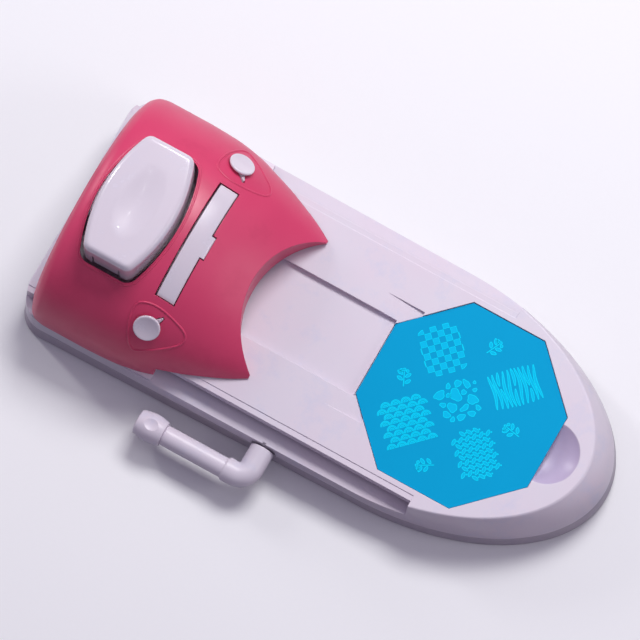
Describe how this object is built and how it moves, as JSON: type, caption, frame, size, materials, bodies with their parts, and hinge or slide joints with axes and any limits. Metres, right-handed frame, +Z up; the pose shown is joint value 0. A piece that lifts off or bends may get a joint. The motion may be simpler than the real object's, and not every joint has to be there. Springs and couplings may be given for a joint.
{
  "type": "nail art stamping printer",
  "caption": "Hand-driven nail stamping press: a sprung press cap on a sliding covered carriage runs over a low base with a drop-in pattern plate, driven by a side lever.",
  "frame": {"origin": "centre of the flat underside, on the mid-plane between the two guide slots", "axes": "+X from the straight rear end to the round nose, +Y away from the lever, +Z up"},
  "size_m": [0.247, 0.1287, 0.07],
  "materials": {
    "base_shell": "satin moulded",
    "base_tray": "fine grain moulded",
    "tray_screws": "zinc plated",
    "pattern_plate": "blue film with lighter engraving",
    "shaft_bush": "moulded",
    "lever_shaft": "ground",
    "lever_arm": "satin moulded",
    "lever_grip": "satin moulded",
    "lever_gear": "acetal",
    "counter_shaft": "ground",
    "counter_gear": "acetal",
    "output_shaft": "ground",
    "output_gear": "acetal",
    "rack_pinion": "acetal",
    "sledge": "moulded",
    "drive_rack": "acetal",
    "carriage_frame": "satin moulded",
    "cover": "glossy moulded",
    "cover_screws": "zinc plated",
    "scraper_holder": "satin moulded",
    "scraper_blade": "polished edge",
    "press_cap": "satin moulded",
    "plunger": "moulded",
    "stamp_pad": "soft silicone",
    "press_springs": "spring wire",
    "release_button_left": "satin moulded",
    "release_button_right": "satin moulded"
  },
  "bodies": {
    "base": {"base_shell": "base_shell", "base_tray": "base_tray", "tray_screws": "tray_screws", "pattern_plate": "pattern_plate", "shaft_bush": "shaft_bush"},
    "lever": {"lever_shaft": "lever_shaft", "lever_arm": "lever_arm", "lever_grip": "lever_grip", "lever_gear": "lever_gear"},
    "counter": {"counter_shaft": "counter_shaft", "counter_gear": "counter_gear"},
    "output": {"output_shaft": "output_shaft", "output_gear": "output_gear", "rack_pinion": "rack_pinion"},
    "carriage": {"sledge": "sledge", "drive_rack": "drive_rack", "carriage_frame": "carriage_frame", "cover": "cover", "cover_screws": "cover_screws", "press_springs": "press_springs"},
    "scraper": {"scraper_holder": "scraper_holder", "scraper_blade": "scraper_blade"},
    "press": {"press_cap": "press_cap", "plunger": "plunger", "stamp_pad": "stamp_pad"},
    "button_left": {"release_button_left": "release_button_left"},
    "button_right": {"release_button_right": "release_button_right"}
  },
  "joints": [
    {"name": "carriage_slide", "type": "slide", "parent": "base", "child": "carriage", "axis": [1, 0, 0], "range_m": [0, 0.1134]},
    {"name": "lever_turn", "type": "hinge", "parent": "base", "child": "lever", "pos_m": [-0.0075, 0, 0.0116], "axis": [0, 1, 0], "range_deg": [0, 171.9]},
    {"name": "counter_turn", "type": "hinge", "parent": "base", "child": "counter", "pos_m": [-0.0187, 0, 0.0116], "axis": [0, 1, 0], "range_deg": [-516, 0]},
    {"name": "output_turn", "type": "hinge", "parent": "base", "child": "output", "pos_m": [-0.0075, 0, 0.0116], "axis": [0, 1, 0], "range_deg": [0, 1547.2]},
    {"name": "press_slide", "type": "slide", "parent": "carriage", "child": "press", "axis": [0, 0, 1], "range_m": [-0.008, 0], "stiffness_N_per_m": 300, "springref_m": 0.004, "deforming": ["press_springs"]},
    {"name": "button_left_press", "type": "slide", "parent": "carriage", "child": "button_left", "axis": [0.1755, 0.6362, 0.7513], "range_m": [-0.001, 0], "stiffness_N_per_m": 400, "springref_m": 0.001},
    {"name": "button_right_press", "type": "slide", "parent": "carriage", "child": "button_right", "axis": [0.1755, -0.6362, 0.7513], "range_m": [-0.001, 0], "stiffness_N_per_m": 400, "springref_m": 0.001},
    {"name": "scraper_lift", "type": "slide", "parent": "carriage", "child": "scraper", "axis": [0, 0, 1], "range_m": [0, 0.012]}
  ],
  "couplings": [
    {"joint": "lever_turn", "follows": "carriage_slide", "rad_per_m": 26.455},
    {"joint": "counter_turn", "follows": "carriage_slide", "rad_per_m": -79.365},
    {"joint": "output_turn", "follows": "carriage_slide", "rad_per_m": 238.1}
  ]
}
